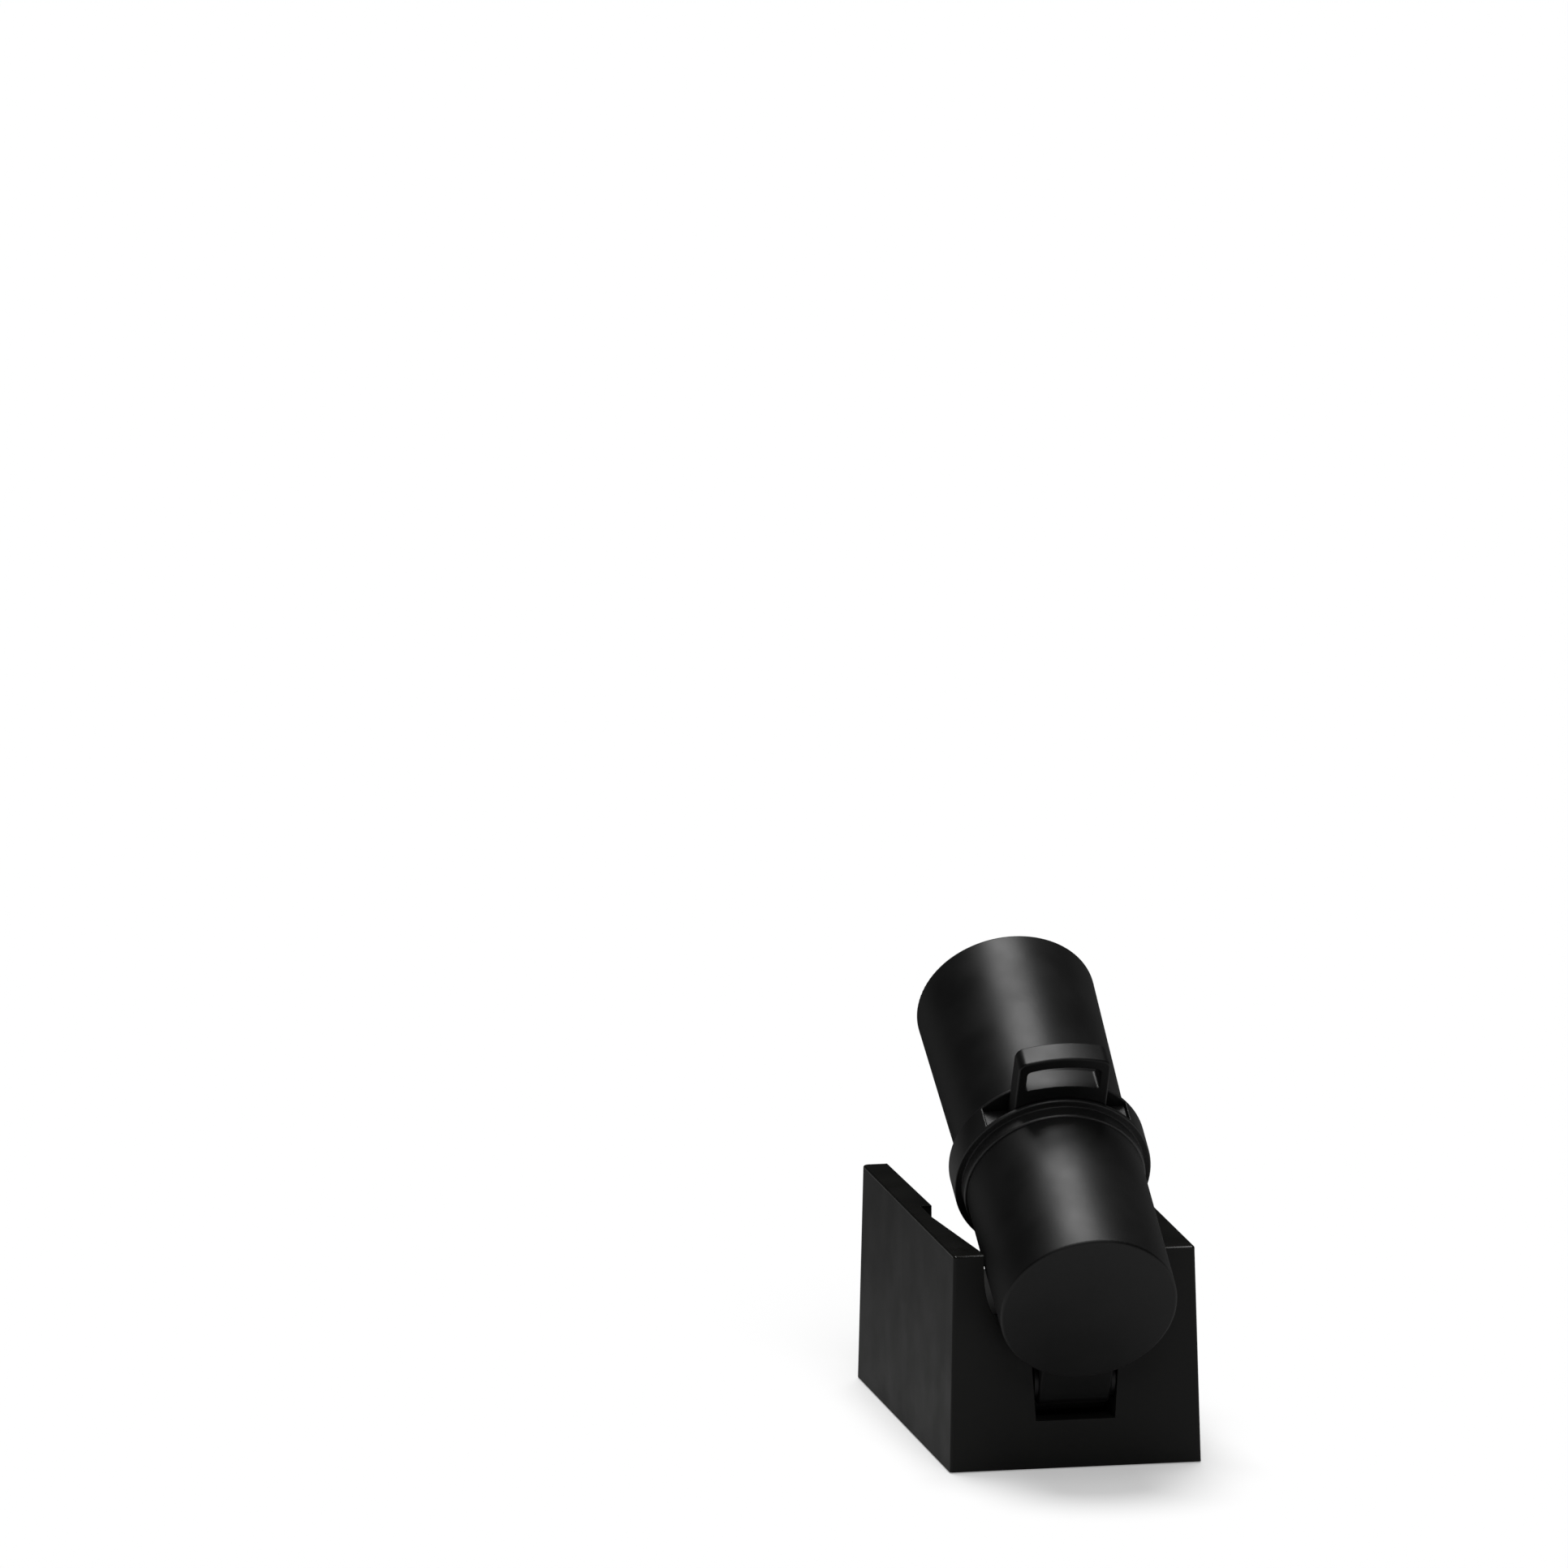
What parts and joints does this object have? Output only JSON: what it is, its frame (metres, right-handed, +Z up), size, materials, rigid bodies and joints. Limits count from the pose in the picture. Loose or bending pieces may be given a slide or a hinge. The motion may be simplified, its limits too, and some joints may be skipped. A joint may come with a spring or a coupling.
{
  "type": "folding projector lamp",
  "caption": "Folding pocket projector lamp: a round lens head with a collar, a pull-out picture slide and a sliding focus barrel, hinged at the rear of a drafted cradle base.",
  "frame": {"origin": "middle of the cradle's underside, which rests on the table", "axes": "+X right, +Y the way the light goes along the cradle, +Z up"},
  "size_m": [0.042, 0.0964, 0.0789],
  "materials": {
    "cradle_plastic": "satin moulded black",
    "cover_plastic": "fine textured black",
    "head_plastic": "satin moulded black",
    "collar_plastic": "satin moulded black",
    "barrel_plastic": "satin moulded black",
    "slide_plastic": "satin moulded black",
    "lens_ring_plastic": "dull black",
    "sleeve_plastic": "reflecting white",
    "button_plastic": "smooth dark grey",
    "switch_plastic": "black",
    "washer_plastic": "black acetal",
    "board_laminate": "green lacquer",
    "cell_wrap": "silver foil wrap",
    "film_sheet": "printed amber film",
    "emitter_resin": "yellow phosphor resin",
    "ring_rubber": "greased black",
    "lens_glass": "clear polished",
    "sink_aluminium": "machined",
    "led_laminate": "white lacquer",
    "screw_steel": "zinc plated",
    "pin_steel": "ground",
    "socket_steel": "bright nickel plated"
  },
  "bodies": {
    "cradle": {"base_shell": "cradle_plastic", "base_cover": "cover_plastic", "cover_screws": "screw_steel", "battery_cell": "cell_wrap", "control_board": "board_laminate", "board_screws": "screw_steel", "charging_socket": "socket_steel", "push_switch": "switch_plastic", "hinge_pin": "pin_steel", "hinge_washers": "washer_plastic"},
    "button": {"power_button": "button_plastic"},
    "head": {"rear_shell": "head_plastic", "heat_sink": "sink_aluminium", "led_board": "led_laminate", "led_screws": "screw_steel", "led_emitter": "emitter_resin", "light_sleeve": "sleeve_plastic", "condenser_lens": "lens_glass", "collar_frame": "collar_plastic", "friction_ring": "ring_rubber"},
    "slide": {"slide_holder": "slide_plastic", "picture_film": "film_sheet", "film_ring": "lens_ring_plastic"},
    "barrel": {"focus_barrel": "barrel_plastic", "rear_lens": "lens_glass", "lens_spacer": "lens_ring_plastic", "front_lens": "lens_glass", "lens_ring": "lens_ring_plastic"}
  },
  "joints": [
    {"name": "head_tilt", "type": "hinge", "parent": "cradle", "child": "head", "pos_m": [0, -0.0351, 0.0144], "axis": [1, 0, 0], "range_deg": [-28.9, 61.1]},
    {"name": "slide_pull", "type": "slide", "parent": "head", "child": "slide", "axis": [0, -0.4833, 0.8755], "range_m": [0, 0.03]},
    {"name": "barrel_focus", "type": "slide", "parent": "head", "child": "barrel", "axis": [0, 0.8755, 0.4833], "range_m": [0, 0.008]},
    {"name": "button_press", "type": "slide", "parent": "cradle", "child": "button", "axis": [0, -1, 0], "range_m": [0, 0.0006], "stiffness_N_per_m": 1200, "springref_m": -0.0005}
  ]
}
